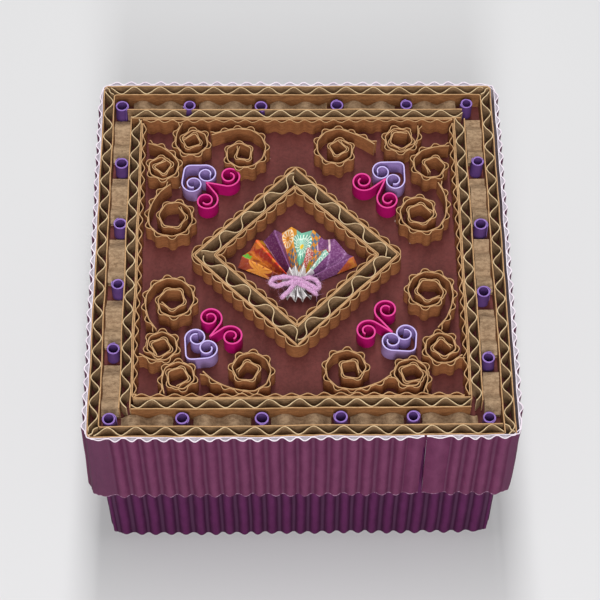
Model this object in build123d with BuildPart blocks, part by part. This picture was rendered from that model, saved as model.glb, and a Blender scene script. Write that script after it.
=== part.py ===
"""Square two-piece box of corrugated card with a quilled lid.

The origin is the middle of the underside, +Z is up and the lid's seam is on the -Y face.
"""
import os
from math import acos, atan2, cos, degrees, hypot, radians, sin

from build123d import *

os.makedirs("parts", exist_ok=True)

# Overall sizes, in mm
frame_width = 115.0         # across the outer board frame on the lid
skirt_height = 35.0         # the lid's side wall, rim included
base_height = 61.3          # the base's side wall
card_thickness = 1.5        # lid card and base bottom
glue_gap = 0.05             # between pieces that are glued together
lid_rest_gap = 0.2          # lid card above the base's upper edge
lid_side_gap = 2.0          # lid's lining to the base's flutes

# Coloured single-face card of the two side walls
wall_liner = 0.35
wall_flute = 1.1
wall_corner = 1.6           # how far each corner is cut back
skirt_pitch = 4.3
base_pitch = 4.2
seam_inset = 24.4           # from the lid's right side to the seam on its front
seam_gap = 0.7

# Double-face board, standing on edge on the lid card
strip_height = 6.0
board_thickness = 3.3
board_pitch = 7.9
board_liner = 0.35
board_medium = 0.7          # fluting paper, measured along the strip
channel_width = 5.0         # between the outer and inner frames
back_strip_short = 0.7      # how far three of the inner strips stop short of the frame's corner
left_strip_short = 0.5
right_strip_short = 2.0

# Thicker board of the diamond
diamond_thickness = 4.2
diamond_pitch = 9.2
fold_cut = 0.8              # how far its folded corners are cut back

# Thin single-face strip: linings, edging and coils
micro_liner = 0.45
micro_flute = 1.0
micro_pitch = 4.35
coil_pitch = 4.22           # the same flutes, straight across the bend from one to the next
coil_facet = 2.0            # longest facet of a tight turn, in radii
coil_hold, coil_fall = 0.45, 0.7    # turns: where a coil starts to tighten, and over how much
coil_step = 1.0                     # how much its last turns close in
outer_turn = 0.8                    # turns past the tail whose flutes stay open

# Channel pieces and rolled tubes
floor_height = 3.3
floor_valley = 0.75         # height of a piece between its waves
floor_crest = 0.4           # share of a wave that its crest takes
floor_waves = 2
floor_gap = 0.8             # between a tube and the next floor piece
tube_radius = 1.85
tube_wall = 0.75
tube_sides = 7

# Quilled paper strips
quill_height = 5.0
quill_thickness = 0.5
quill_chord = 2.8           # facets of a curl
quill_facet = 1.25          # their longest, in radii
curl_end = 0.45             # a curl's radius at its inner end, as a share of its first
heart_turns, scroll_turns = 1.25, 1.4

# Pleated fan and its yarn
fan_pleats, tail_pleats = 7, 3
paper = 0.4
rim_height = 3.4            # of the pleats at the fan's rim
gather_height = 2.4         # where they meet at the neck
neck_width, neck_length, neck_height = 2.8, 2.4, 3.8
yarn = 1.6

# Levels and half widths, worked out from the sizes above
lid_under = base_height + lid_rest_gap
deck = lid_under + card_thickness
rim = deck + strip_height
stand = deck + glue_gap
frame_half = frame_width / 2
board_inner = frame_half - board_thickness
inner_half = board_inner - channel_width
inner_start = inner_half - board_thickness
lining_half = inner_start - glue_gap
micro_thickness = micro_liner + micro_flute
field_half = lining_half - micro_thickness
skirt_half = frame_half + glue_gap
base_half = skirt_half - lid_side_gap - wall_flute - wall_liner
channel_middle = board_inner - channel_width / 2

# Where the first wave of each strip of board lies, from the middle of its side
outer_waves = {"back": -1.0, "left": 0.3, "front": 0.65, "right": -0.3}
inner_waves = {"back": 2.9, "left": 1.4, "front": -3.3, "right": -2.2}
diamond_waves = {"left": (-2.0, 1.0), "right": (0.5, -1.5)}
turned = {"back": 0, "left": 90, "front": 180, "right": 270}

# How far each tube stands from even spacing along its side, from the front or the left
tube_shifts = {
    "back": (0.3, -0.8, -0.6, 1.2, 0.9, -0.5),
    "front": (0.3, -1.0, -0.3, 0.4, -0.5, -0.5),
    "left": (0, 0.6, 0.5, -0.1, -0.2, 0),
    "right": (0, -3.0, -2.7, -1.5, -0.6, 0),
}

# Layout of the open field inside the lining, in hundredths of its half width
diamond_place = (-2.0, -1.7)
diamond_corner = 65.3
heart_curl, scroll_curl = 6.2, 6.3

# Coils of thin strip, in the same measure. Each row has the middle and radius over its flutes, the inner
# turn's middle and radius, the tail's end, the way round (1 is anticlockwise going in), the turns and the
# tail's angle.
coils = {
    "coil_back_left_1": (-69.6, 84.7, 14.1, -69.6, 85.4, 5.0, -76.6, 98.2, 1, 1.9, 60),
    "coil_back_left_2": (-87.8, 65.8, 13.4, -88.1, 65.3, 5.0, -96.8, 82.0, -1, 2.0, 75),
    "coil_back_left_3": (-36.5, 79.5, 18.6, -36.0, 75.5, 5.4, -55.0, 89.2, -1, 2.1, 50),
    "coil_back_left_4": (-81.1, 26.6, 17.7, -80.2, 26.8, 7.2, -83.3, 50.0, 1, 1.75, 75),
    "coil_back_right_1": (26.1, 80.2, 17.2, 26.6, 79.5, 5.4, 49.5, 82.4, 1, 2.2, 50),
    "coil_back_right_2": (67.1, 85.6, 13.4, 67.6, 85.6, 5.6, 78.6, 96.8, -1, 1.95, 75),
    "coil_back_right_3": (86.5, 66.4, 13.9, 86.5, 65.3, 4.5, 98.6, 79.7, 1, 1.7, 60),
    "coil_back_right_4": (79.1, 29.3, 17.7, 77.9, 29.3, 4.7, 90.5, 50.9, -1, 2.1, 75),
    "coil_front_left_1": (-80.6, -33.3, 18.1, -79.7, -33.8, 5.0, -89.2, -53.2, -1, 2.0, 75),
    "coil_front_left_2": (-86.3, -66.2, 13.2, -86.3, -67.2, 4.8, -98.6, -72.1, 1, 1.8, 75),
    "coil_front_left_3": (-73.9, -87.2, 12.3, -74.1, -87.6, 4.5, -82.0, -98.2, -1, 2.0, 60),
    "coil_front_left_4": (-31.8, -83.3, 16.6, -32.0, -83.3, 4.5, -57.9, -84.5, 1, 2.0, 70),
    "coil_front_right_1": (81.1, -28.4, 17.7, 81.5, -28.8, 5.2, 85.6, -52.7, 1, 2.0, 75),
    "coil_front_right_2": (86.7, -68.9, 13.2, 86.7, -68.5, 5.0, 98.2, -74.3, -1, 1.85, 75),
    "coil_front_right_3": (66.2, -86.9, 12.7, 66.7, -86.9, 5.0, 73.9, -98.2, 1, 1.8, 60),
    "coil_front_right_4": (28.6, -83.1, 16.8, 30.2, -82.9, 4.5, 53.2, -87.4, -1, 2.1, 70),
}

# Folded strips with curled ends, likewise: the fold, then the middles of the two curls
hearts = {
    "heart_back_left": ((-73.6, 65.1), (-60.6, 59.5), (-68.9, 50.7)),
    "heart_back_right": ((68.2, 67.6), (53.8, 61.3), (61.9, 52.7)),
    "heart_front_left": ((-70.3, -77.0), (-64.9, -61.9), (-57.2, -70.3)),
    "heart_front_right": ((69.8, -72.3), (64.9, -59.7), (55.9, -66.4)),
}
scrolls = {
    "scroll_back_left": ((-59.5, 51.1), (-44.8, 56.3), (-59.7, 37.4)),
    "scroll_back_right": ((55.0, 52.7), (40.5, 52.3), (56.3, 39.2)),
    "scroll_front_left": ((-57.7, -60.1), (-56.1, -46.8), (-43.5, -60.8)),
    "scroll_front_right": ((56.3, -57.2), (52.7, -42.8), (41.0, -57.0)),
}

# Fan and bow, in hundredths of the diamond's open half diagonal: the fan's neck, from the diamond's
# middle, its radius and its tail's, and the bow's loops and ends, from the neck
fan_neck = (0.7, -36.0)
fan_radius, fan_sweep = 85.8, (158.5, 22.7)
tail_radius, tail_sweep = 30.5, (-123, -57)
bow_loops = ((-18.8, -1.4, 17.2, 9.1, 8), (15.7, -4.3, 16.2, 8.6, -14))
bow_ends = (((-2.9, -3.8), (-21.9, -23.4)), ((2.9, -3.8), (28.6, -20.0)))


def save(piece, name):
    """Labels a finished piece and writes it to its own file."""
    piece.label = name
    export_step(piece, f"parts/{name}.step")


def share(whole, *hundredths):
    """Hundredths of a length, in mm."""
    lengths = [whole * value / 100 for value in hundredths]
    return lengths[0] if len(lengths) == 1 else tuple(lengths)


def step_down(x):
    """Falls smoothly from 1 to 0 as x goes from 0 to 1."""
    x = min(1, max(0, x))
    return 1 - x * x * (3 - 2 * x)


def unit(a, b):
    """Direction from a to b."""
    length = hypot(b[0] - a[0], b[1] - a[1])
    return (b[0] - a[0]) / length, (b[1] - a[1]) / length


def left_of(path, i):
    """Unit vector to the left of a path at its point i."""
    ax, ay = unit(path[max(i - 1, 0)], path[max(i, 1)])
    bx, by = unit(path[min(i, len(path) - 2)], path[min(i + 1, len(path) - 1)])
    return unit((0, 0), (-ay - by, ax + bx))


def run(a, b, flutes):
    """Evenly spaced points from a to b."""
    return [(a[0] + (b[0] - a[0]) * i / flutes, a[1] + (b[1] - a[1]) * i / flutes) for i in range(flutes + 1)]


def lid_plane(turn=0, middle=(0, 0)):
    """The lid card's top, turned about the vertical."""
    x_dir = (cos(radians(turn)), sin(radians(turn)), 0)
    return Plane(origin=(*middle, stand), x_dir=x_dir, z_dir=(0, 0, 1))


def spiral(middle, radius, inner, inner_radius, tail, way, turns, tail_angle, hold, fall, step, chord, facet):
    """Points along a spiral from its tail's end inwards, and how many lie on the open turn."""
    start = degrees(atan2(tail[1] - middle[1], tail[0] - middle[0]))
    reach = hypot(tail[0] - middle[0], tail[1] - middle[1])
    sweep = tail_angle + 360 * turns
    points = []
    outer = 0
    for angle in range(int(sweep) + 1):
        if angle < tail_angle:
            r = radius + (reach - radius) * (1 - angle / tail_angle) ** 2
            tight = 0
        else:
            turn = (angle - tail_angle) / 360
            tight = 1 - step_down((turn - hold) / fall)
            r = inner_radius + (radius - inner_radius - step) * (1 - tight) + step * (1 - turn / turns)
        x = middle[0] + (inner[0] - middle[0]) * tight + r * cos(radians(start + way * angle))
        y = middle[1] + (inner[1] - middle[1]) * tight + r * sin(radians(start + way * angle))
        if not points or hypot(x - points[-1][0], y - points[-1][1]) >= min(chord, facet * r):
            points.append((x, y))
            outer += angle < tail_angle + 360 * outer_turn
    return points, outer


def fluted_outline(path, side, liner, flute):
    """Outline of a strip with its liner along a path and flutes on one side."""
    flutes = []
    for i, (a, b) in enumerate(zip(path, path[1:])):
        nx, ny = left_of(path, i)
        ux, uy = unit(a, b)
        crest = side * (liner + flute)
        flutes.append((a[0] + side * liner * nx, a[1] + side * liner * ny))
        flutes.append(((a[0] + b[0]) / 2 - crest * uy, (a[1] + b[1]) / 2 + crest * ux))
    nx, ny = left_of(path, len(path) - 1)
    flutes.append((path[-1][0] + side * liner * nx, path[-1][1] + side * liner * ny))
    return list(path) + flutes[::-1]


def lining_outline(path, corners):
    """Outline of a fluted lining, with its plain face only at the ends and corners."""
    outline = fluted_outline(path, 1, micro_liner, micro_flute)
    return corners + outline[len(path):]


def facets(path, near, far, crest=0, crested=0):
    """Outlines of a strip's facets, from near to far on the left of a path, the first ones with a crest."""
    made = []
    for i, (a, b) in enumerate(zip(path, path[1:])):
        (ax, ay), (bx, by) = left_of(path, i), left_of(path, i + 1)
        ux, uy = unit(a, b)
        points = [(a[0] + near * ax, a[1] + near * ay), (b[0] + near * bx, b[1] + near * by)]
        points += [(b[0] + far * bx, b[1] + far * by)]
        if i < crested:
            points += [((a[0] + b[0]) / 2 - crest * uy, (a[1] + b[1]) / 2 + crest * ux)]
        points += [(a[0] + far * ax, a[1] + far * ay)]
        made.append(points if far > near else points[::-1])
    return made


def outline_part(points, height):
    """An outline extruded up from the lid card."""
    with BuildPart() as piece:
        with BuildSketch(lid_plane()):
            with BuildLine():
                Polyline(*points, close=True)
            make_face()
        extrude(amount=height - glue_gap)
    return piece.part


def rolled_part(strips, height):
    """Rolled strips standing on the lid card, each a list of facets."""
    with BuildPart() as piece:
        with BuildSketch(lid_plane()):
            for strip in strips:
                for points in strip:
                    Polygon(*points, align=None)
        extrude(amount=height - glue_gap)
    return piece.part


def square_path(half, corner, flutes):
    """Valleys of a strip bent round a square with cut corners, anticlockwise."""
    side = run((half, corner - half), (half, half - corner), flutes)
    path = []
    for quarter in range(4):
        c, s = (1, 0, -1, 0)[quarter], (0, 1, 0, -1)[quarter]
        path += [(x * c - y * s, x * s + y * c) for x, y in side]
    return path


def fluted_ring(plane, half, corner, pitch, liner, flute, height, out=1, seam=None):
    """A fluted strip bent round a square, flutes outside or, where out is -1, inside, and cut at any seam."""
    flutes = round(2 * (half - corner) / pitch)
    path = square_path(half, corner, flutes)
    ridges = fluted_outline(path + path[:1], -out, liner, flute)[len(path) + 1:-1]
    plain = square_path(half, corner, 1)
    outside, inside = (ridges, plain) if out > 0 else (plain, ridges)
    with BuildPart() as ring:
        with BuildSketch(plane):
            with BuildLine():
                Polyline(*outside, close=True)
            make_face()
            with BuildLine():
                Polyline(*inside, close=True)
            make_face(mode=Mode.SUBTRACT)
            if seam:
                with Locations(seam):
                    Rectangle(seam_gap, 3 * (liner + flute), mode=Mode.SUBTRACT)
        extrude(amount=height)
    return ring.part


def cell(pitch, thickness, liner):
    """One hollow of a board's edge, pointing up, with its base at y = 0."""
    base = pitch - board_medium
    height = (thickness - 2 * liner) * base / pitch
    return (-base / 2, 0), (base / 2, 0), (0, height)


def cell_places(start, end, first, pitch):
    """Places along a strip for the cells that point out and for those that point in."""
    half = (pitch - board_medium) / 2 + board_liner
    count = int((end - start) / pitch) + 1
    steps = [first + pitch / 2 * k for k in range(-2 * count, 2 * count + 1)]
    out = [x for x in steps[::2] if start + half <= x <= end - half]
    back = [x for x in steps[1::2] if start + half <= x <= end - half]
    return out, back


def cut_cells(start, end, inner, thickness, pitch, first, turn=0):
    """Cuts the cells of one run of board. The run lies along x, its inner face at y = inner."""
    out, back = cell_places(start, end, first, pitch)
    triangle = cell(pitch, thickness, board_liner)
    places = [(x, inner + board_liner, 0) for x in out]
    places += [(x, inner + thickness - board_liner, 180) for x in back]
    c, s = cos(radians(turn)), sin(radians(turn))
    spots = [Location((x * c - y * s, x * s + y * c, 0), (0, 0, turn + flip)) for x, y, flip in places]
    with Locations(*spots):
        Polygon(*triangle, align=None, mode=Mode.SUBTRACT)


def board_strip(start, end, first, turn):
    """A straight strip of board on edge in the inner frame, turned about the middle of the lid."""
    with BuildPart() as strip:
        with BuildSketch(lid_plane(turn)):
            with Locations(((start + end) / 2, inner_start + board_thickness / 2)):
                Rectangle(end - start, board_thickness)
            cut_cells(start, end, inner_start, board_thickness, board_pitch, first)
        extrude(amount=strip_height - glue_gap)
    return strip.part


def folded_board(turn, firsts):
    """Half of the diamond: one strip of thick board folded at a side corner."""
    low, high = diamond_inner, diamond_outer
    with BuildPart() as folded:
        with BuildSketch(lid_plane(turn, diamond_middle)):
            with BuildLine():
                Polyline((-high + fold_cut, high), (-high, high - fold_cut), (-high, -low), (-low, -low),
                         (-low, low), (low, low), (low, high), close=True)
            make_face()
            cut_cells(-low, low, low, diamond_thickness, diamond_pitch, firsts[0])
            cut_cells(-low, low, low, diamond_thickness, diamond_pitch, firsts[1], 90)
        extrude(amount=strip_height - glue_gap)
    return folded.part


def floor_outline(start, end):
    """Side view of one piece of fluted card, waves up."""
    wave = (end - start) / floor_waves
    crests = []
    for i in range(floor_waves):
        middle = start + wave * (i + 0.5)
        flat = wave * floor_crest / 2
        crests += [(middle - flat, floor_height), (middle + flat, floor_height)]
        crests += [(middle + wave / 2, floor_valley)]
    return [(start, 0), (start, floor_valley), *crests, (end, 0)]


def floor_pieces(middle, stations, lengthways):
    """Pieces of fluted card lying in one side of the channel, between the tubes."""
    across = Vector(0, 1, 0) if lengthways.X else Vector(1, 0, 0)
    width = channel_width - 2 * glue_gap
    reach = tube_radius + floor_gap
    origin = across * (middle - width / 2) + Vector(0, 0, stand)
    plane = Plane(origin=origin, x_dir=lengthways, z_dir=lengthways.cross(Vector(0, 0, 1)))
    with BuildPart() as pieces:
        with BuildSketch(plane):
            for a, b in zip(stations, stations[1:]):
                with BuildLine():
                    Polyline(*floor_outline(a + reach, b - reach), close=True)
                make_face()
        extrude(amount=width, dir=across)
    return pieces.part


def tube_group(places):
    """Rolled paper tubes standing on the lid card."""
    with BuildPart() as tubes:
        with BuildSketch(lid_plane()):
            with Locations(*places):
                RegularPolygon(tube_radius, tube_sides)
                RegularPolygon(tube_radius - tube_wall, tube_sides, mode=Mode.SUBTRACT)
        extrude(amount=strip_height)
    return tubes.part


def curl(fold, middle, radius, turns, way):
    """Points from a fold straight to the edge of a curl and round it, closing in to its end."""
    dx, dy = fold[0] - middle[0], fold[1] - middle[1]
    start = degrees(atan2(dy, dx)) + way * degrees(acos(radius / hypot(dx, dy)))
    points = [fold]
    for angle in range(int(360 * turns) + 1):
        r = radius + (curl_end * radius - radius) * angle / (360 * turns)
        direction = radians(start + way * angle)
        x, y = middle[0] + r * cos(direction), middle[1] + r * sin(direction)
        if not angle or hypot(x - points[-1][0], y - points[-1][1]) >= min(quill_chord, quill_facet * r):
            points.append((x, y))
    return points


def curled_pair(fold, first, second, radius, turns, side):
    """A strip folded in the middle, with both ends curled: inwards where side is 1, outwards at -1."""
    cross = (first[0] - fold[0]) * (second[1] - fold[1]) - (first[1] - fold[1]) * (second[0] - fold[0])
    way = side if cross > 0 else -side
    half = quill_thickness / 2
    halves = [facets(curl(fold, middle, radius, turns, turning), -half, half)
              for middle, turning in ((first, way), (second, -way))]
    x, y = fold
    joint = [(x - half, y - half), (x + half, y - half), (x + half, y + half), (x - half, y + half)]
    return rolled_part([*halves, [joint]], quill_height)


def pleats(middle, radius, sweep, folds):
    """Flat faces of pleated paper from the neck to an arc, with corners low and high by turns."""
    gather = Vector(*middle, stand + gather_height)
    corners = []
    for i in range(2 * folds + 1):
        angle = radians(sweep[0] + (sweep[1] - sweep[0]) * i / (2 * folds))
        level = rim_height if i % 2 else 0
        x, y = middle[0] + radius * cos(angle), middle[1] + radius * sin(angle)
        corners.append(Vector(x, y, stand + level))
    return [Face(Wire.make_polygon([gather, a, b])) for a, b in zip(corners, corners[1:])]


def oval(x, y, long, short, turn, sides=7):
    """Corners of a flat loop of yarn."""
    c, s = cos(radians(turn)), sin(radians(turn))
    points = []
    for i in range(sides):
        angle = radians(360 * i / sides)
        u, v = long * cos(angle), short * sin(angle)
        points.append((x + u * c - v * s, y + u * s + v * c))
    return points


# Base: a flat bottom inside one bent strip
with BuildPart() as base_bottom:
    with BuildSketch() as bottom_outline:
        Rectangle(2 * (base_half - glue_gap), 2 * (base_half - glue_gap))
        chamfer(bottom_outline.vertices(), wall_corner)
    extrude(amount=card_thickness)
save(base_bottom.part, "base_bottom")
base_wall = fluted_ring(Plane.XY, base_half, wall_corner, base_pitch, wall_liner, wall_flute, base_height,
                        seam=(0, base_half))
save(base_wall, "base_wall")

# Lid: card, side wall and the outer frame, which is one strip folded at three corners
with BuildPart() as lid_card:
    with BuildSketch(Plane.XY.offset(lid_under)) as card_outline:
        Rectangle(frame_width, frame_width)
        chamfer(card_outline.vertices(), wall_corner)
    extrude(amount=card_thickness)
save(lid_card.part, "lid_card")

skirt_seam = (frame_half - seam_inset, -skirt_half)
skirt = fluted_ring(Plane.XY.offset(rim - skirt_height), skirt_half, wall_corner, skirt_pitch, wall_liner,
                    wall_flute, skirt_height, seam=skirt_seam)
save(skirt, "lid_skirt")

with BuildPart() as outer_frame:
    with BuildSketch(lid_plane()) as frame_outline:
        Rectangle(frame_width, frame_width)
        chamfer(frame_outline.vertices(), wall_corner)
        Rectangle(2 * board_inner, 2 * board_inner, mode=Mode.SUBTRACT)
        for side, first in outer_waves.items():
            cut_cells(-board_inner, board_inner, board_inner, board_thickness, board_pitch, first,
                      turned[side])
        with Locations((board_inner, -board_inner - board_thickness / 2)):
            Rectangle(seam_gap, 2 * board_thickness, mode=Mode.SUBTRACT)
    extrude(amount=strip_height - glue_gap)
save(outer_frame.part, "outer_frame")

# Inner frame: the side strips butt against the back one, and the front one fits between them
butted = inner_start - glue_gap
inner_spans = {
    "back": (-inner_half, inner_half - back_strip_short),
    "left": (left_strip_short - inner_half, butted),
    "front": (-butted, butted),
    "right": (-butted, inner_half - right_strip_short),
}
for side, (start, end) in inner_spans.items():
    save(board_strip(start, end, inner_waves[side], turned[side]), f"inner_frame_{side}")

# Fluted lining inside the inner frame: the left and front sides are one piece
lining_end = field_half - glue_gap
back_flutes = round(2 * lining_half / micro_pitch)
side_flutes = back_flutes - 1
back_left, back_right = (-lining_half, lining_half), (lining_half, lining_half)
front_left, front_right = (-lining_half, -lining_half), (lining_half, -lining_half)
back_path = run(back_right, back_left, back_flutes)
save(outline_part(lining_outline(back_path, [back_right, back_left]), strip_height), "lining_back")
left_path = run((-lining_half, lining_end), front_left, side_flutes)
front_path = run(front_left, (lining_end, -lining_half), side_flutes)
left_front = lining_outline(left_path + front_path[1:], [left_path[0], front_left, front_path[-1]])
save(outline_part(left_front, strip_height), "lining_left_front")
right_path = run(front_right, (lining_half, lining_end), side_flutes)
save(outline_part(lining_outline(right_path, [right_path[0], right_path[-1]]), strip_height), "lining_right")

# Channel between the frames. The tubes at its corners belong to the back and front rows
for side, shifts in tube_shifts.items():
    even = run((-channel_middle, 0), (channel_middle, 0), len(shifts) - 1)
    stations = [place + shift for (place, _), shift in zip(even, shifts)]
    middle = channel_middle if side in ("back", "right") else -channel_middle
    if side in ("back", "front"):
        lengthways, places = Vector(1, 0, 0), [(x, middle) for x in stations]
    else:
        lengthways, places = Vector(0, 1, 0), [(middle, y) for y in stations[1:-1]]
    save(floor_pieces(middle, stations, lengthways), f"channel_{side}")
    save(tube_group(places), f"tubes_{side}")

# Diamond: two strips of thick board, with fluted strip outside and inside
diamond_middle = share(field_half, *diamond_place)
diamond_outer = share(field_half, diamond_corner) / 2 ** 0.5
diamond_inner = diamond_outer - diamond_thickness
slope = lid_plane(45, diamond_middle)
save(folded_board(45, diamond_waves["left"]), "diamond_left")
save(folded_board(225, diamond_waves["right"]), "diamond_right")
save(fluted_ring(slope, diamond_outer + glue_gap, fold_cut, micro_pitch, micro_liner, micro_flute,
                 strip_height - glue_gap), "diamond_edging")
save(fluted_ring(slope, diamond_inner - glue_gap, fold_cut, micro_pitch, micro_liner, micro_flute,
                 strip_height - glue_gap, out=-1), "diamond_lining")

# Coils, and the folded strips with curled ends
for name, (mx, my, radius, ix, iy, inner_radius, tx, ty, way, turns, tail_angle) in coils.items():
    open_radius, tight_radius = share(field_half, radius, inner_radius)
    path, outer = spiral(share(field_half, mx, my), open_radius - micro_thickness, share(field_half, ix, iy),
                         tight_radius, share(field_half, tx, ty), way, turns, tail_angle,
                         coil_hold, coil_fall, coil_step, coil_pitch, coil_facet)
    turn = facets(path, 0, -way * micro_liner, -way * micro_thickness, outer)
    save(rolled_part([turn], strip_height), name)
for name, points in hearts.items():
    places = [share(field_half, *point) for point in points]
    save(curled_pair(*places, share(field_half, heart_curl), heart_turns, 1), name)
for name, points in scrolls.items():
    places = [share(field_half, *point) for point in points]
    save(curled_pair(*places, share(field_half, scroll_curl), scroll_turns, -1), name)

# Fan: one pleated paper gathered at its neck, with short ends splayed below it
nest = (diamond_inner - micro_thickness) * 2 ** 0.5
offset = share(nest, *fan_neck)
neck_x, neck_y = diamond_middle[0] + offset[0], diamond_middle[1] + offset[1]
fan_faces = pleats((neck_x, neck_y), share(nest, fan_radius), fan_sweep, fan_pleats)
fan_faces += pleats((neck_x, neck_y), share(nest, tail_radius), tail_sweep, tail_pleats)
with BuildPart() as fan:
    with Locations((neck_x, neck_y, stand)):
        Box(neck_width, neck_length, neck_height, align=(Align.CENTER, Align.CENTER, Align.MIN))
    for face in fan_faces:
        extrude(face, amount=paper, dir=(0, 0, 1))
save(fan.part, "fan")

# Yarn bow, lying on the fan's neck: two loops, two ends and the knot
with BuildPart() as yarn_bow:
    with BuildSketch(Plane(origin=(neck_x, neck_y, stand + neck_height + glue_gap))):
        for *loop, turn in bow_loops:
            x, y, long, short = share(nest, *loop)
            Polygon(*oval(x, y, long, short, turn))
            Polygon(*oval(x, y, long - yarn, short - yarn * 0.7, turn), mode=Mode.SUBTRACT)
        for start, end in bow_ends:
            Polygon(*facets([share(nest, *start), share(nest, *end)], -yarn / 2, yarn / 2)[0])
        RegularPolygon(yarn * 1.1, 6)
    extrude(amount=yarn)
save(yarn_bow.part, "yarn_bow")
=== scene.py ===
import bpy
from math import acos, atan2, cos, degrees, hypot, pi, radians, sin
from mathutils import Matrix, Vector, noise
from random import Random


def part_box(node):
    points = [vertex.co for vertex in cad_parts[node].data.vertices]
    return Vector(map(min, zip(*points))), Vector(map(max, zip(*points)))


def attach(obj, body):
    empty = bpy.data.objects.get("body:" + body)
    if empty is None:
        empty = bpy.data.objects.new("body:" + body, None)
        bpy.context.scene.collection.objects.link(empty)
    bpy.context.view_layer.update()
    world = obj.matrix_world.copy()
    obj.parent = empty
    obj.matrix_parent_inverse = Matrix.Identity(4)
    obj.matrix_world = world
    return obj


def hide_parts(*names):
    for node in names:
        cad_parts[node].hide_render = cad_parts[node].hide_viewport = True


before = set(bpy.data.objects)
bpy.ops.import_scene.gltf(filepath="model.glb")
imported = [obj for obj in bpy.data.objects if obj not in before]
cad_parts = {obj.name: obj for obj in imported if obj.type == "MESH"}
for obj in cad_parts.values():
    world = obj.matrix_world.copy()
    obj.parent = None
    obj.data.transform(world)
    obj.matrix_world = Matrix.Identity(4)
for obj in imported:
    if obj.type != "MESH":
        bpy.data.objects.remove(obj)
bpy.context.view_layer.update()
mm = 0.001


# Shader building

class Value:
    def __init__(self, finish, socket):
        self.finish = finish
        self.socket = socket

    def maths(self, operation, *others):
        return self.finish.node("ShaderNodeMath", {"operation": operation}, dict(enumerate((self, *others))))[0]

    def __add__(self, other): return self.maths("ADD", other)
    def __sub__(self, other): return self.maths("SUBTRACT", other)
    def __rsub__(self, other): return self * -1 + other
    def __mul__(self, other): return self.maths("MULTIPLY", other)
    def __truediv__(self, other): return self.maths("DIVIDE", other)
    def __gt__(self, other): return self.maths("GREATER_THAN", other)
    def __lt__(self, other): return self.maths("LESS_THAN", other)
    __rmul__ = __mul__

    def ramp(self, low, high):
        values = {"Value": self, "From Min": low, "From Max": high}
        return self.finish.node("ShaderNodeMapRange", {"interpolation_type": "SMOOTHSTEP"}, values)[0]


class Finish:
    def __init__(self, name):
        self.material = bpy.data.materials.new(name)
        self.material.use_nodes = True
        self.tree = self.material.node_tree
        self.tree.nodes.clear()
        self.place = self.vector("SCALE", {0: self.node("ShaderNodeTexCoord", {}, {})[3], "Scale": 1 / mm})

    def node(self, kind, settings, values):
        made = self.tree.nodes.new(kind)
        for name, setting in settings.items():
            setattr(made, name, setting)
        for name, value in values.items():
            if isinstance(value, Value):
                self.tree.links.new(value.socket, made.inputs[name])
            else:
                made.inputs[name].default_value = value
        return [Value(self, socket) for socket in made.outputs]

    def vector(self, operation, values):
        return self.node("ShaderNodeVectorMath", {"operation": operation}, values)[0]

    def mix(self, factor, first, second, blend="MIX"):
        values = {0: factor, 6: first, 7: second}
        return self.node("ShaderNodeMix", {"data_type": "RGBA", "blend_type": blend}, values)[2]

    def noise(self, size, detail=3, rough=0.5, stretch=(1, 1, 1)):
        place = self.vector("MULTIPLY", {0: self.place, 1: tuple(1 / (size * s) for s in stretch)})
        values = {"Vector": place, "Scale": 1, "Detail": detail, "Roughness": rough}
        return self.node("ShaderNodeTexNoise", {}, values)[0]

    def parts(self, vector):
        return self.node("ShaderNodeSeparateXYZ", {}, {0: vector})

    def surface(self, colour, roughness, height=None, strength=0.3, distance=0.2, **constants):
        values = {"Base Color": colour, "Roughness": roughness}
        if height is not None:
            bump = {"Strength": strength, "Distance": distance * mm, "Height": height}
            values["Normal"] = self.node("ShaderNodeBump", {}, bump)[0]
        values.update({name.replace("_", " "): value for name, value in constants.items()})
        shader = self.node("ShaderNodeBsdfPrincipled", {}, values)[0]
        self.node("ShaderNodeOutputMaterial", {}, {0: shader})
        return self.material


def shade(*levels):
    return (*[((v / 255 + 0.055) / 1.055) ** 2.4 if v > 10 else v / 255 / 12.92 for v in levels], 1)


def paper(name, light, dark, fibre=0.4, speck=0.1, grain=(1, 1, 1), rough=0.8, relief=0.2, mottle=0.0):
    f = Finish(name)
    light, dark = shade(*light), shade(*dark)
    broad = f.noise(9, 2)
    cloud = f.noise(1.6, 4, 0.6, stretch=grain)
    fine = f.noise(0.18, 3, 0.7, stretch=grain)
    tone = (broad * 0.35 + cloud * 0.4 + fine * fibre).ramp(0.3, 0.95)
    colour = f.mix(tone, dark, light)
    specks = f.noise(0.33, 1, 0.3).ramp(0.68, 0.78)
    colour = f.mix(specks * speck, colour, tuple(v * 0.45 for v in dark[:3]) + (1,))
    if mottle:
        patches = (f.noise(0.8, 3, 0.7, stretch=grain) * 0.55 + cloud * 0.45).ramp(0.36, 0.62)
        colour = f.mix((1 - patches) * mottle, colour, (0.58, 0.54, 0.5, 1), "MULTIPLY")
    height = cloud * 0.5 + fine
    roughness = fine * 0.12 + (rough - 0.06)
    return f.surface(colour, roughness, height, relief, 0.12, Specular_IOR_Level=0.25)


# Mesh building, in mm

rng = Random(7)
noise.seed_set(7)

# Levels, taken from the solids
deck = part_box("lid_card")[1].z / mm + 0.02
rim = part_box("outer_frame")[1].z / mm
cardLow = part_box("lid_card")[0].z / mm

warp = {"size": 17, "shift": 0.22, "fineShift": 0.1}
# how far the lid's corners stand out of square, in x and y: on its left from back to front, then on its right
outOfSquare = (((0.36, 0.64), (-0.09, -0.21)), ((-0.64, -0.31), (0.27, -0.03)))


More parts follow.
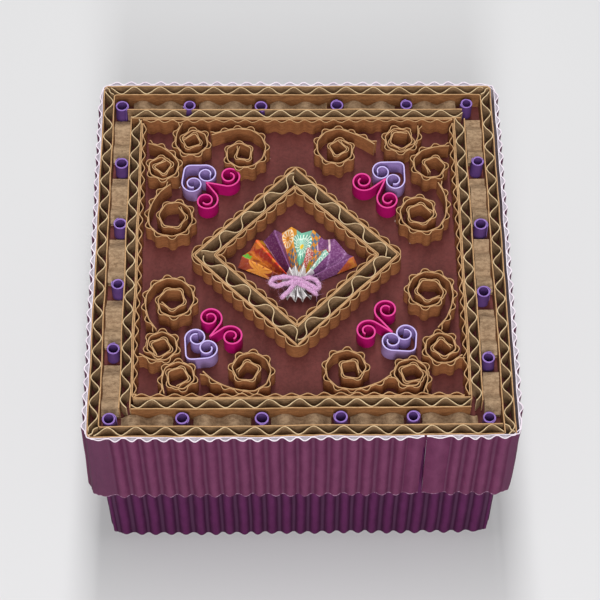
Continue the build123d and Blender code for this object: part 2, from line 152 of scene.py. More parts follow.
def bend(x, y, z):
    # one slow warp for everything, so that neighbours stay clear of one another
    p = Vector((x, y, z)) / warp["size"]
    shift = noise.noise_vector(p) * warp["shift"]
    shift += noise.noise_vector(p * 3.7 + Vector((5, 1, 9))) * warp["fineShift"]
    if z > deck - 30:
        across, along = x / 115 + 0.5, y / 115 + 0.5
        for k in (0, 1):
            left, right = [rear[k] * along + near[k] * (1 - along) for rear, near in outOfSquare]
            shift[k] += (1 - across) * left + across * right
    return Vector((x + shift.x, y + shift.y, z + shift.z * 0.4))


class Shape:
    def __init__(self):
        self.points, self.faces, self.kinds, self.crests = [], [], [], {}

    def grid(self, rows, kind=0, around=False, flip=False, crests=None):
        start, width = len(self.points), len(rows[0])
        for row in rows:
            if crests:
                self.crests.update(enumerate(crests, len(self.points)))
            self.points += row
        for r in range(len(rows) - 1):
            for c in range(width if around else width - 1):
                a, b = start + r * width + c, start + r * width + (c + 1) % width
                face = (a, b, b + width, a + width)
                self.faces.append(face[::-1] if flip else face)
                self.kinds.append(kind)

    def cap(self, ring, kind=0, flip=False):
        face = tuple(range(len(self.points), len(self.points) + len(ring)))
        self.points += ring
        self.faces.append(face[::-1] if flip else face)
        self.kinds.append(kind)

    def build(self, nodes, materials, slot=None, body="lid", name=None, smooth=True):
        # a piece is named after its node
        name = name or nodes[0][0] + nodes[0].title().replace("_", "")[1:]
        mesh = bpy.data.meshes.new(name)
        mesh.from_pydata([tuple(v * mm for v in p) for p in self.points], [], self.faces)
        for material in materials:
            mesh.materials.append(material)
        mesh.polygons.foreach_set("material_index", self.kinds)
        mesh.polygons.foreach_set("use_smooth", [smooth] * len(self.faces))
        mesh.update()
        if self.crests:
            crests = [self.crests.get(i, 0.0) for i in range(len(self.points))]
            mesh.attributes.new("crestHighlight", "FLOAT", "POINT").data.foreach_set("value", crests)
        made = bpy.data.objects.new(name, mesh)
        bpy.context.scene.collection.objects.link(made)
        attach(made, body)
        if nodes:
            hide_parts(*nodes)
        return made


def span(a, b):
    return hypot(b[0] - a[0], b[1] - a[1])


def heading(a, b):
    length = span(a, b) or 1
    return (b[0] - a[0]) / length, (b[1] - a[1]) / length, length


def normals(path, closed=False):
    before = (path[-1:] if closed else path[:1]) + path[:-1]
    after = path[1:] + (path[:1] if closed else path[-1:])
    return [(-uy, ux) for ux, uy, length in map(heading, before, after)]


def ribbon(shape, path, low, high, left, right, kinds=(0, 0, 1), closed=False, rows=1, place=bend, ragged=0.0,
           crests=None):
    # a thin strip standing on a path, with its own faces and its own cut edges
    across = normals(path, closed)
    tops = [high + ragged * noise.noise(Vector((x * 0.9, y * 0.9, high))) for x, y in path]
    levels = [r / rows for r in range(rows + 1)]

    def line(offset, level):
        return [place(x + nx * offset, y + ny * offset, low + (top - low) * level)
                for (x, y), (nx, ny), top in zip(path, across, tops)]

    shape.grid([line(right, level) for level in levels], kinds[1], closed, crests=crests)
    shape.grid([line(left, level) for level in levels], kinds[0], closed, flip=True, crests=crests)
    shape.grid([line(right, 1), line(left, 1)], kinds[2], closed)
    shape.grid([line(right, 0), line(left, 0)], kinds[2], closed, flip=True)
    if not closed:
        for i, flip in ((0, True), (-1, False)):
            ends = [[line(side, level)[i] for side in (right, left)] for level in levels]
            # the ends of a strip with crests take 0.3 there, the flank's painted shade
            shape.grid(ends, kinds[1] if crests else kinds[2], flip=flip, crests=[0.3] * 2 if crests else None)


def between(a, b, count):
    return [tuple(a[k] + (b[k] - a[k]) * i / count for k in (0, 1)) for i in range(count + 1)]


def rounded(corners, radius, closed=False, steps=4):
    # a path with its corners eased
    path = []
    count = len(corners)
    for i, corner in enumerate(corners):
        if not closed and i in (0, count - 1):
            path.append(corner)
            continue
        before, after = corners[i - 1], corners[(i + 1) % count]
        ends = []
        for other in (before, after):
            share = min(radius, span(corner, other) * 0.45) / span(corner, other)
            ends.append([corner[k] + (other[k] - corner[k]) * share for k in (0, 1)])
        for step in range(steps + 1):
            t = step / steps
            first, middle, last = (1 - t) ** 2, 2 * t * (1 - t), t * t
            path.append(tuple(first * ends[0][k] + middle * corner[k] + last * ends[1][k] for k in (0, 1)))
    return path


def fine(path, step, closed=False):
    # the same path with points at most a step apart
    made = []
    ends = path[1:] + path[:1] if closed else path[1:]
    for a, b in zip(path, ends):
        count = max(1, round(span(a, b) / step))
        made += between(a, b, count)[:-1]
    return made if closed else made + [path[-1]]


def bulging(t):
    return sin(pi * t) ** 0.8


def swelling(t):
    # a broad crest, steep flanks and a flat valley, from 0 to 1
    off = abs(2 * t - 1)
    share = min(1, max(0, (off - 0.04) / 0.86))
    return 1 - share * share * (3 - 2 * share)


def peaked(t):
    return (0.5 - 0.5 * cos(2 * pi * t)) ** 0.92


def arches(valleys, base, height, rise=bulging, samples=10, wild=0.08):
    # flutes over the stretches between valleys, to the left of the path, or to its right where height is negative
    path = []
    for i, (a, b) in enumerate(zip(valleys, valleys[1:])):
        ux, uy, length = heading(a, b)
        tall = height[i] if isinstance(height, list) else height
        tall *= 1 + rng.uniform(-wild, wild)
        lean = rng.uniform(-0.06, 0.06)
        for s in range(samples if i < len(valleys) - 2 else samples + 1):
            t = s / samples
            out = base + tall * rise(t)
            along = t + lean * sin(pi * t)
            path.append((a[0] + (b[0] - a[0]) * along - uy * out, a[1] + (b[1] - a[1]) * along + ux * out))
    return path


print("Tools ready")

# Finishes
cutEdge = paper("cutEdge", (212, 172, 126), (170, 128, 86), 0.5, 0.2, mottle=0.3)
paleEdge = paper("paleEdge", (228, 204, 164), (186, 156, 116), 0.5, 0.15, mottle=0.3)
kraftFace = paper("kraftFace", (180, 126, 80), (130, 88, 54), 0.6, 0.5, (1.6, 1.6, 0.5), relief=0.35, mottle=0.6)
kraftMedium = paper("kraftMedium", (188, 154, 116), (132, 104, 76), 0.7, 0.4, (1.4, 1.4, 0.6), relief=0.35, mottle=0.7)
kraftPale = paper("kraftPale", (178, 150, 119), (105, 81, 58), 0.9, 0.6, (1.5, 0.8, 1), relief=0.35, mottle=0.8)
kraftCoil = paper("kraftCoil", (184, 122, 76), (134, 84, 50), 0.6, 0.45, (1.6, 1.6, 0.5), relief=0.35, mottle=0.45)
maroonCard = paper("maroonCard", (106, 51, 48), (74, 31, 29), 0.9, 0.35, rough=0.72, relief=0.25, mottle=0.35)
whiteCard = paper("whiteCard", (226, 216, 226), (190, 178, 194))
# grey for the white inside of the flutes where shade falls: painted shade
paintedHollowShade = paper("paintedHollowShade", (196, 190, 198), (160, 152, 162), mottle=0.3)
whiteEdge = paper("whiteEdge", (250, 244, 250), (216, 196, 212), 0.5)


def wallCard(name, crestHighlight, flankShade, valleyHighlight, foot):
    # painted light: a painted highlight along the crests, painted shade on the flanks and a grey painted highlight
    # along each valley, all set by the flute's crest attribute; white showing along its foot
    f = Finish(name)
    crestHighlight, flankShade, valleyHighlight = shade(*crestHighlight), shade(*flankShade), shade(*valleyHighlight)
    height = f.node("ShaderNodeAttribute", {"attribute_name": "crestHighlight"}, {})[2]
    cloud = f.noise(2.4, 4, 0.6, stretch=(1, 1, 2.5))
    fine = f.noise(0.22, 3, 0.7, stretch=(1, 1, 1.5))
    level = height + (cloud - 0.5) * 0.2
    # painted highlight on the crests over painted shade on the flanks
    colour = f.mix(level.ramp(0.24, 0.86), flankShade, crestHighlight)
    # grey painted highlight along each valley
    colour = f.mix(1 - level.ramp(0.06, 0.36), colour, valleyHighlight)
    torn = f.noise(1.1, 3, 0.6).ramp(0.42, 0.62) * (f.parts(f.place)[2] < f.noise(3, 2) * 0.4 + (foot + 0.12))
    colour = f.mix(torn * 0.75, colour, shade(226, 190, 216))
    colour = f.mix((f.noise(0.5, 1, 0.2) > 0.8) * 0.5, colour, shade(150, 40, 84))
    tone = (cloud * 0.45 + fine * 0.55).ramp(0.3, 0.72)
    colour = f.mix(1 - tone, colour, (0.72, 0.66, 0.72, 1), "MULTIPLY")
    return f.surface(colour, fine * 0.12 + 0.68, cloud * 0.5 + fine, 0.3, 0.12, Specular_IOR_Level=0.08)


# each wall's crest highlight, flank shade and valley highlight are painted light; the last value is the level of its
# foot
plumFace = wallCard("plumFace", (127, 66, 101), (100, 41, 76), (113, 66, 94), rim - 35)
plumDeep = wallCard("plumDeep", (102, 42, 90), (64, 18, 56), (88, 52, 82), -0.3)

# Base: a flat bottom inside one bent strip of single-face card


def wallValleys(wall):
    # valleys anticlockwise from the seam on the front, or from the back's middle where no seam shows
    half, flutes = wall["half"], wall["flutes"]
    run = half - wall["corner"]
    sides = (((-run, -half), (run, -half)), ((half, -run), (half, run)),
             ((run, half), (-run, half)), ((-half, run), (-half, -run)))
    front, right, back, left = [between(a, b, flutes) for a, b in sides]
    if "seam" not in wall:
        middle = flutes // 2
        return back[middle:] + left + front + right + back[:middle + 1]
    seam, gap = wall["seam"], wall["gap"]
    start = seam + wall["wideFlute"]
    last = between((-run, -half), (seam - gap, -half), round((run + seam) / (2 * run / flutes)))
    first = [(seam + gap, -half)] + between((start, -half), (run, -half), round((run - start) / 4))
    return first + right + back + left + last


singleCard = {"liner": 0.2, "sheet": 0.32, "flute": 0.94}


def singleFace(shape, valleys, low, high, place, tall):
    # liner inside, fluting outside, which rises by tall over each stretch between two valleys
    liner, sheet = singleCard["liner"], singleCard["sheet"]
    ribbon(shape, fine(valleys, 1.2), low, high, 0, -liner, (1, 1, 2), rows=4, place=place, ragged=0.12)
    samples = 18
    waves = arches(valleys, -liner - sheet / 2, tall, swelling, samples)
    crests = [1 - abs(2 * (k % samples) / samples - 1) for k in range(len(waves))]
    for k, c in enumerate(crests):
        # painted light: a flattened flute takes mostly the valley's painted highlight over the flank's painted shade,
        # in place of the crest's painted highlight; a half-flattened one gets a dimmer crest
        height = tall[min(k // samples, len(tall) - 1)]
        crests[k] = 0.12 if height > -0.45 else 0.45 + 0.35 * c if height > -0.6 else c
    ribbon(shape, waves, low, high, sheet / 2, -sheet / 2, (1, 0, 2), rows=6, place=place, ragged=0.2, crests=crests)
    # a grey sheet closes each hollow a little below the upper edge: painted shade, standing for the flute's white
    # inside in shade
    wall = max(x for x, y in valleys) + liner
    back = [(max(-wall, min(wall, x)), max(-wall, min(wall, y))) for x, y in waves]
    for level, flip in ((high - 0.3, True), (high - 0.4, False)):
        shape.grid([[place(x, y, level) for x, y in path] for path in (waves, back)], 3, flip=flip)


def dented(x, y, z):
    p = bend(x, y, z)
    push = noise.noise(Vector((x / 5, y / 5, z / 9))) * 0.14
    return p + Vector((push if abs(x) > abs(y) else 0, push if abs(y) >= abs(x) else 0, 0))


def wallHeights(valleys, corner, both=True):
    # each flute's height, less beside the corners and across them
    turns = [min(abs(b[0] - a[0]), abs(b[1] - a[1])) > 0.5 for a, b in zip(valleys, valleys[1:])]
    before = turns[1:] + [False] if both else turns
    after = [False] + turns[:-1]
    return [corner if any(near) else -singleCard["flute"] for near in zip(before, turns, after)]


base = {"half": 54.15, "corner": 1.4, "flutes": 25, "low": 0.05, "high": 61.25,
        "flatFlute": -0.62, "flare": (1.1, 0.8)}


def flared(x, y, z):
    # the base is pulled out a little below the lid, more so on its left
    p = dented(x, y, z)
    share = min(1, max(0, (60 - z) / 26))
    left, right = base["flare"]
    p.x += share * (-left * max(0, min(1, (-x - 30) / 25)) + right * max(0, min(1, (x - 30) / 25)))
    return p


wall = Shape()
baseValleys = wallValleys(base)
singleFace(wall, baseValleys, base["low"], base["high"], flared, wallHeights(baseValleys, base["flatFlute"]))
wall.build(["base_wall"], [plumDeep, whiteCard, whiteEdge, paintedHollowShade], "plum_base", "base")


def slab(shape, half, corner, low, high, kinds):
    # a flat card with eased edges
    soft = 0.15
    outline = rounded([(half, -half), (half, half), (-half, half), (-half, -half)], corner, True, 4)
    inset = [(x * (1 - soft / half), y * (1 - soft / half)) for x, y in outline]
    levels = [(inset, low), (outline, low + soft), (outline, high - soft), (inset, high)]
    shape.grid([[Vector((x, y, z)) for x, y in path] for path, z in levels], kinds[1], around=True)
    for z, kind, flip in ((high, kinds[0], False), (low, kinds[2], True)):
        shape.cap([Vector((x, y, z)) for x, y in inset], kind, flip)


bottom = Shape()
slab(bottom, base["half"] - 0.15, base["corner"], 0.02, 1.5, (0, 1, 0))
bottom.build(["base_bottom"], [whiteCard, whiteEdge], "inner_card", "base", smooth=False)
print("Base ready")

# Lid: its card, and the side wall with a seam on the front
card = Shape()
slab(card, 57.5, 1.6, cardLow, deck, (0, 1, 2))
card.build(["lid_card"], [maroonCard, whiteEdge, whiteCard], "maroon_card", smooth=False)

skirt = {"half": 57.55, "corner": 1.6, "flutes": 26, "tall": 35, "flatFlute": -0.4,
         "seam": 33.1, "gap": 0.34, "besideSeam": (-0.55, -0.5), "wideFlute": 6.8, "widen": 0.22,
         "bulge": 0.7, "flare": 0.9}


def parted(x, y, z):
    # the seam opens a little towards the bottom
    p = dented(x, y, z)
    share = (rim - z) / skirt["tall"]
    if y < -57:
        away = max(0, 1 - abs(x - skirt["seam"]) / 9) * skirt["widen"] * share
        p.x += away if x > skirt["seam"] else -away
    # the right side bulges and the left one flares
    if x > 50:
        p.x += skirt["bulge"] * min(1, (x - 50) / 7)
    if x < -50:
        p.x -= skirt["flare"] * share * min(1, (-x - 50) / 7)
    return p


skirtValleys = wallValleys(skirt)
skirtTall = wallHeights(skirtValleys, skirt["flatFlute"], False)
skirtTall[0], skirtTall[-1] = skirt["besideSeam"]
side = Shape()
# a narrow strip closes the seam from behind, above the lid's card; its crest value of 0.3 gives it the flank's painted
# shade, so the gap shows dark
behind = [(skirt["seam"] - 0.8, -skirt["half"]), (skirt["seam"] + 0.8, -skirt["half"])]
ribbon(side, behind, cardLow, rim - 0.2, 0, -0.12, (1, 0, 0), place=dented, crests=[0.3, 0.3])
singleFace(side, skirtValleys, rim - skirt["tall"], rim - 0.05, parted, skirtTall)
side.build(["lid_skirt"], [plumFace, whiteCard, whiteEdge, paintedHollowShade], "plum_flutes")
print("Lid walls ready")

# Double-face board on edge
board = {"liner": 0.32, "medium": 0.27, "thickness": 3.3, "pitch": 7.9, "skew": 0.12, "low": deck + 0.03, "high": rim}


def medium(shape, a, b, touch, reach=(0, 0), kind=board):
    # fluting from a to b, which lie on the board's outer face with its inner face to the left
    thickness, pitch = kind["thickness"], kind["pitch"]
    ux, uy, length = heading(a, b)
    swing = thickness / 2 - board["liner"] - board["medium"] / 2
    steps = round((length + reach[0] + reach[1]) / pitch * (26))
    path = []
    for i in range(steps + 1):
        s = -reach[0] + (length + reach[0] + reach[1]) * i / steps
        loose = noise.noise(Vector((a[0] + ux * s, a[1] + uy * s, thickness)) / 9)
        angle = 2 * pi * (s - touch + loose * 0.45) / pitch
        flat = cos(angle)
        flat = flat * (1.12 - 0.12 * flat * flat)
        along = s - kind["skew"] * sin(2 * angle)
        v = thickness / 2 - swing * flat * (1 - 0.03 * abs(loose))
        path.append((a[0] + ux * along - uy * v, a[1] + uy * along + ux * v))
    half = board["medium"] / 2
    ribbon(shape, path, board["low"], board["high"], half, -half, (2, 2, 3), rows=2, ragged=0.14)


def liner(shape, path, side, thick=board["liner"]):
    # the path is the liner's outside face; side is 1 where the board's middle lies to its left
    fit = fine(path, 1.3)
    wave = [0.05 * noise.noise(Vector((x, y, 3)) / 2.3) for x, y in fit]
    fit = [(x + nx * w, y + ny * w) for (x, y), (nx, ny), w in zip(fit, normals(fit), wave)]
    left, right = (thick, 0) if side > 0 else (0, -thick)
    kinds = (2, 0, 1) if side > 0 else (0, 2, 1)
    ribbon(shape, fit, board["low"], board["high"], left, right, kinds, rows=2, ragged=0.12)


boardFinishes = [kraftFace, cutEdge, kraftMedium, paleEdge]
outer = {"half": 57.45, "overlap": 1.2}
h, t = outer["half"], board["thickness"]
i = h - t
outerFrame = Shape()
liner(outerFrame, rounded([(h, -h), (h, h), (-h, h), (-h, -h), (i - 0.1, -h)], 1.5, steps=5), 1)
liner(outerFrame, rounded([(i, -h + 0.4), (i, i), (-i, i), (-i, -i), (i - 0.2, -i)], 0.5), -1)
# each side's ends, and where along it the fluting touches the outer face
outerSides = {
    "right": ((h, -h), (h, i), h + 0.3),
    "back": ((i, h), (-i, h), i + 1),
    "left": ((-h, i), (-h, -i), i - 0.3),
    "front": ((-i, -h), (i - 0.3, -h), i - 0.5),
}
for side, (a, b, touch) in outerSides.items():
    reach = (0 if side == "right" else outer["overlap"], 0 if side == "front" else outer["overlap"])
    medium(outerFrame, a, b, touch, reach)
for sx, sy in ((-1, 1), (1, 1), (-1, -1), (1, -1)):
    # the fluting is crushed along the fold's diagonal
    fold = [(i + 0.3, i + 0.3), (i + 1.5, i + 0.9), (i + 1.7, i + 2.2), (h - 0.5, h - 0.7)]
    fold = rounded([(sx * x, sy * y) for x, y in fold], 0.6)
    ribbon(outerFrame, fold, board["low"], board["high"], 0.15, -0.15, (2, 2, 3), rows=2, ragged=0.2)
outerFrame.build(["outer_frame"], boardFinishes, "kraft_card")

inner = {"half": 49.2, "cutBack": 1.1}
h = inner["half"]
innerSides = {
    "back": ((48.5, h), (-h, h), 48.5 - 2.9),
    "left": ((-h, 45.8), (-h, -48.7), 45.8 - 1.4),
    "front": ((-45.8, -h), (45.8, -h), 45.8 + 3.3),
    "right": ((h, -47.2), (h, 45.8), 47.2 + 2.2),
}
for side, (a, b, touch) in innerSides.items():
    strip = Shape()
    ux, uy, length = heading(a, b)
    shift = (-uy * t, ux * t)
    liner(strip, [a, (b[0] - (inner["cutBack"] if side == "back" else 0), b[1])], 1)
    liner(strip, [(a[0] + shift[0] + ux * 0.5, a[1] + shift[1] + uy * 0.5), (b[0] + shift[0], b[1] + shift[1])], -1)
    medium(strip, a, b, touch)
    strip.build(["inner_frame_" + side], boardFinishes, "kraft_card")
print("Board frames ready")

# Thin fluted strip: linings, edging and coils
micro = {"liner": 0.3, "sheet": 0.24, "flute": 1.12, "low": deck + 0.03, "high": rim - 0.05}
microFinishes = [kraftCoil, cutEdge]
glueBead = paper("glueBead", (226, 214, 206), (176, 150, 142), 0.3, 0.0, relief=0.1, rough=0.25)


def faced(shape, liner, waves, side, closed=False):
    # a liner with its fluting, which lies to the left where side is 1
    left, right = (micro["liner"], 0) if side > 0 else (0, -micro["liner"])
    half = micro["sheet"] / 2
    for path, a, b, ragged in ((liner, left, right, 0.12), (waves, half, -half, 0.18)):
        ribbon(shape, path, micro["low"], micro["high"], a, b, closed=closed, rows=2, ragged=ragged)


def fluted(shape, valleys, side, rise=bulging, closed=False):
    fit = fine(rounded(valleys, 0.5, closed, 3) if len(valleys) > 2 else valleys, 1.4, closed)
    ends = valleys + valleys[:1] if closed else valleys
    tall = side * (micro["flute"] - micro["sheet"])
    waves = arches(ends, side * (micro["liner"] + micro["sheet"] / 2), tall, rise, 12, 0.14)
    faced(shape, fit, waves[:-1] if closed else waves, side, closed)


def crimped(shape, corners, side, tall):
    # a bent strip, where each flute is a small hollow over one corner of its liner
    fit = fine(rounded(corners, 0.8, steps=3), 0.3)
    bumps = []
    for (x, y), (nx, ny) in zip(fit, normals(fit)):
        gaps = [hypot(x - cx, y - cy) for cx, cy in corners]
        near = gaps.index(min(gaps))
        swell = cos(pi / 2 * min(1, gaps[near] / 1.25)) ** 1.2
        out = side * (micro["liner"] + micro["sheet"] / 2 + 0.02 + tall[near] * swell)
        bumps.append((x + nx * out, y + ny * out))
    faced(shape, fit, bumps, side)


h = 45.8  # just inside the inner frame
linings = {
    "back": between((45.4, h), (-45.6, h), 21),
    "left_front": between((-h, 44.2), (-h, -45.2), 20) + between((-45.2, -h), (44.2, -h), 20),
    "right": between((h, -45.4), (h, 44.2), 20),
}
for place, valleys in linings.items():
    lining = Shape()
    fluted(lining, valleys, 1, peaked)
    lining.build(["lining_" + place], microFinishes, "kraft_card")
print("Linings ready")

# Channel: flat pieces of fluted card with a rolled tube between each two
channel = {"middle": 51.7, "right": 0.5, "width": 4.8, "sheet": 0.32, "tall": 3.1, "pitch": 7.9, "gap": 2.7}
tubes = {
    "back": [(-51.6, 50.9), (-31.8, 50.8), (-10.9, 50.6), (11.5, 50.7), (31.9, 50.8), (49.5, 51.0)],
    "front": [(-51.6, -52.2), (-32.0, -52.0), (-10.6, -52.2), (10.7, -52.0), (30.2, -52.0), (50.6, -52.4)],
    "left": [(-51.0, 30.7), (-50.7, 10.1), (-50.7, -9.8), (-51.2, -30.4)],
    "right": [(51.8, 30.4), (51.5, 8.8), (51.2, -13.2), (51.4, -34.1)],
}
ends = {"back": [], "front": [], "left": [51.0, -51.8], "right": [51.0, -51.8]}


def channelPiece(shape, start, end, side):
    lengthways = side in ("back", "front")
    middle = channel["middle"] * (1 if side in ("back", "right") else -1)
    middle += channel["right"] if side == "right" else 0
    half, sheet = channel["width"] / 2, channel["sheet"] / 2

    def lying(u, z, v):
        return bend(u, middle - v, z) if lengthways else bend(middle + v, u, z)

    steps = 44
    begin = rng.uniform(0.2, 1.6)
    wave = []
    for k in range(steps + 1):
        u = start + (end - start) * k / steps
        rise = 0.5 - 0.5 * cos(2 * pi * (u - start) / channel["pitch"] + begin)
        sag = noise.noise(Vector((u, middle, 1)) / 6) * 0.25
        wave.append((u, deck + 0.65 + (channel["tall"] - 0.8) * rise ** 0.85 + sag))
    flat = between((start, deck + 0.25), (end, deck + 0.25), 12)
    ribbon(shape, flat, -half, half, sheet, -sheet, place=lying)
    ribbon(shape, wave, -half, half, sheet, -sheet, rows=3, place=lying)


for side, places in tubes.items():
    stations = sorted([p[0 if side in ("back", "front") else 1] for p in places] + ends[side])
    pieces = Shape()
    for a, b in zip(stations, stations[1:]):
        start, end = a + channel["gap"] + rng.uniform(-0.2, 0.3), b - channel["gap"] - rng.uniform(-0.2, 0.3)
        channelPiece(pieces, start, end, side)
    pieces.build(["channel_" + side], [kraftPale, cutEdge], "pale_kraft")
print("Channel ready")

purpleFace = paper("purpleFace", (118, 84, 152), (92, 60, 126), rough=0.6)
purpleEdge = paper("purpleEdge", (164, 130, 204), (138, 104, 182), rough=0.6)
rolled = {"radius": 1.9, "sheet": 0.2, "step": 0.23, "turns": 2.1}


def rolledTube(shape, x, y):
    # paper rolled a little over twice, standing a little out of true
    radius = rolled["radius"] * rng.uniform(0.94, 1.06)
    begin = rng.uniform(0, 2 * pi)
    steps = 70
    path = []
    for k in range(steps + 1):
        turn = rolled["turns"] * k / steps
        r = radius - rolled["sheet"] / 2 - rolled["step"] * turn * (1 - 0.06 * turn)
        r += 0.03 * sin(5 * pi * turn) + (0.12 * (1 - turn * 8) if turn < 0.125 else 0)
        path.append((r * cos(begin + 2 * pi * turn), r * sin(begin + 2 * pi * turn)))
    tilt = (rng.uniform(-0.3, 0.3), rng.uniform(-0.2, 0.35))
    high = rim + rng.uniform(-0.3, 0.25)

    def leaning(u, v, z):
        share = (z - deck) / 6
        return Vector((x + u + tilt[0] * (share - 1), y + v * 0.97 + tilt[1] * (share - 1), z))

    half = rolled["sheet"] / 2
    ribbon(shape, path[::-1], deck + 0.05, high, half, -half, rows=2, place=leaning)


for side, places in tubes.items():
    group = Shape()
    for x, y in places:
        rolledTube(group, x, y)
    group.build(["tubes_" + side], [purpleFace, purpleEdge], "purple_paper")
print("Tubes ready")

# Diamond: two strips of thicker board, each folded at a side corner
diamond = {"x": -0.9, "y": -0.75, "half": 29.0, "thickness": 4.2, "pitch": 9.2, "skew": -0.2,
           "outerLiner": 0.4, "innerLiner": 0.36, "gap": 0.35}


def diamondPoint(reach, turn):
    return diamond["x"] + reach * cos(radians(turn)), diamond["y"] + reach * sin(radians(turn))


thin = diamond["thickness"] * 2 ** 0.5
half = diamond["half"]
for name, middle, touches in (("left", 180, (2.6, 4.4)), ("right", 0, (3.0, 5.2))):
    strip = Shape()
    fold = diamondPoint(half, middle)
    gap = diamond["gap"] if name == "right" else -diamond["gap"]
    start, end = [(x + gap, y) for x, y in (diamondPoint(half, middle + turn) for turn in (-90, 90))]
    within = [diamondPoint(half - thin, middle + turn) for turn in (-90, 0, 90)]
    liner(strip, rounded([start, fold, end], 0.9), 1, diamond["outerLiner"])
    liner(strip, rounded(within, 0.5), -1, diamond["innerLiner"])
    for a, b, touch, reach in ((start, fold, touches[0], (-1.2, -2.2)), (fold, end, touches[1], (-2.2, -1.2))):
        medium(strip, a, b, touch, reach, diamond)
    strip.build(["diamond_" + name], boardFinishes, "kraft_card")


def diamondRun(reach, count):
    path = []
    for turn in (0, 90, 180, 270):
        path += between(diamondPoint(reach, turn), diamondPoint(reach, turn + 90), count)[:-1]
    return path


for name, reach, count, side in (("edging", half + 0.15, 10, -1), ("lining", half - thin - 0.1, 8, 1)):
    run = Shape()
    fluted(run, diamondRun(reach, count), side, closed=True)
    run.build(["diamond_" + name], microFinishes, "kraft_card")
print("Diamond ready")

# Coils of the thin strip: the outer turn's middle and radius, the inner turn's, the tail's end, the way
# round, the turns and the tail's angle
coils = {
    "back_left_1": (-30.9, 37.8, 4.8, -30.9, 38.1, 2.3, -33.9, 44.2, 1, 2.2, 60),
    "back_left_2": (-39.2, 29.3, 4.7, -39.3, 29.0, 2.2, -43.7, 37.0, -1, 2.0, 75),
    "back_left_3": (-16.2, 35.3, 6.9, -16.0, 33.5, 2.4, -25.2, 39.8, -1, 2.1, 50),
    "back_left_4": (-36.5, 11.8, 6.5, -35.8, 11.9, 3.4, -36.8, 23.0, 1, 1.75, 75),
    "back_right_1": (11.6, 35.8, 6.3, 11.8, 35.3, 2.4, 22.3, 36.6, 1, 2.2, 50),
    "back_right_2": (29.8, 38.3, 4.5, 30.0, 38.3, 2.85, 35.2, 43.2, -1, 2.0, 75),
    "back_right_3": (38.5, 29.8, 5.1, 38.6, 29.2, 2.0, 44.2, 36.0, 1, 1.7, 60),
    "back_right_4": (35.3, 13.0, 6.5, 34.5, 12.8, 3.1, 40.2, 23.4, -1, 2.1, 75),
    "front_left_1": (-36.0, -15.0, 6.8, -35.3, -15.0, 3.1, -39.4, -24.4, -1, 2.0, 75),
    "front_left_2": (-38.2, -29.6, 4.6, -38.3, -30.0, 2.5, -44.0, -31.9, 1, 2.1, 75),
    "front_left_3": (-33.2, -39.1, 4.5, -33.3, -39.3, 2.6, -36.9, -44.2, -1, 2.0, 60),
    "front_left_4": (-14.1, -37.7, 6.1, -14.2, -37.4, 2.6, -26.6, -37.5, 1, 2.0, 70),
    "front_right_1": (36.3, -12.8, 6.4, 36.1, -12.5, 3.2, 37.9, -24.3, 1, 2.05, 75),
    "front_right_2": (38.7, -30.7, 4.8, 38.7, -30.4, 2.3, 44.1, -32.9, -1, 1.85, 75),
    "front_right_3": (29.8, -38.9, 4.7, 30.0, -38.9, 2.75, 33.1, -44.2, 1, 1.9, 60),
    "front_right_4": (12.8, -37.3, 6.2, 13.5, -37.0, 2.5, 24.5, -39.0, -1, 2.1, 70),
}


# when the inner turns begin to tighten and over how many turns, the space between turns, the flutes'
# spacing and their height in the first turn, beyond it and inside
winding = {"hold": 0.45, "fall": 0.7, "step": 1.0, "chord": 3.9, "tall": (0.85, 0.55, 0.4)}
bead = {"share": 0.45, "reach": (0.35, 0.7), "tall": (0.25, 0.5), "out": (0.5, 0.9)}


def spiral(middle, radius, inside, insideRadius, tail, way, turns, tailAngle):
    start = degrees(atan2(tail[1] - middle[1], tail[0] - middle[0]))
    reach, step = span(middle, tail), winding["step"]
    path, reached = [], []
    for k in range(int((tailAngle + 360 * turns) * 2) + 1):
        angle = k / 2
        tight, turn = 0, (angle - tailAngle) / 360
        if angle < tailAngle:
            r = radius + (reach - radius) * (1 - angle / tailAngle) ** 2
        else:
            share = min(1, max(0, (turn - winding["hold"]) / winding["fall"]))
            tight = share * share * (3 - 2 * share)
            r = insideRadius + (radius - insideRadius - step) * (1 - tight) + step * (1 - turn / turns)
        x = middle[0] + (inside[0] - middle[0]) * tight + r * cos(radians(start + way * angle))
        y = middle[1] + (inside[1] - middle[1]) * tight + r * sin(radians(start + way * angle))
        if not path or span(path[-1], (x, y)) >= winding["chord"]:
            path.append((x, y))
            reached.append(turn)
    return path, reached


def glued(shape, x, y, mx, my, radius):
    # a bead of dried glue outside a point of a coil
    reach, high = rng.uniform(*bead["reach"]), rng.uniform(*bead["tall"])
    out = (radius + rng.uniform(*bead["out"])) / radius
    x, y = mx + (x - mx) * out, my + (y - my) * out
    turns = [pi * k / 5 for k in range(10)]
    rings = [[bend(x + reach * r * cos(a), y + reach * 0.7 * r * sin(a), deck + high * z) for a in turns]
             for r, z in ((1, 0), (0.93, 0.5), (0.6, 0.85), (0.05, 1))]
    shape.grid(rings, 2, around=True)


for name, (mx, my, radius, ix, iy, insideRadius, tx, ty, way, turns, tailAngle) in coils.items():
    path, reached = spiral((mx, my), radius, (ix, iy), insideRadius, (tx, ty), way, turns, tailAngle)
    tall = [winding["tall"][0 if turn < 0.8 else 1 if turn < 1.1 else 2] for turn in reached]
    coil = Shape()
    crimped(coil, path, -way, tall)
    for x, y in path[2:len(path) // 2]:
        if rng.random() < bead["share"]:
            glued(coil, x, y, mx, my, radius)
    node = "coil_" + name
    coil.build([node], [*microFinishes, glueBead], "kraft_card", name=node.title().replace("_", ""))
print("Coils ready")

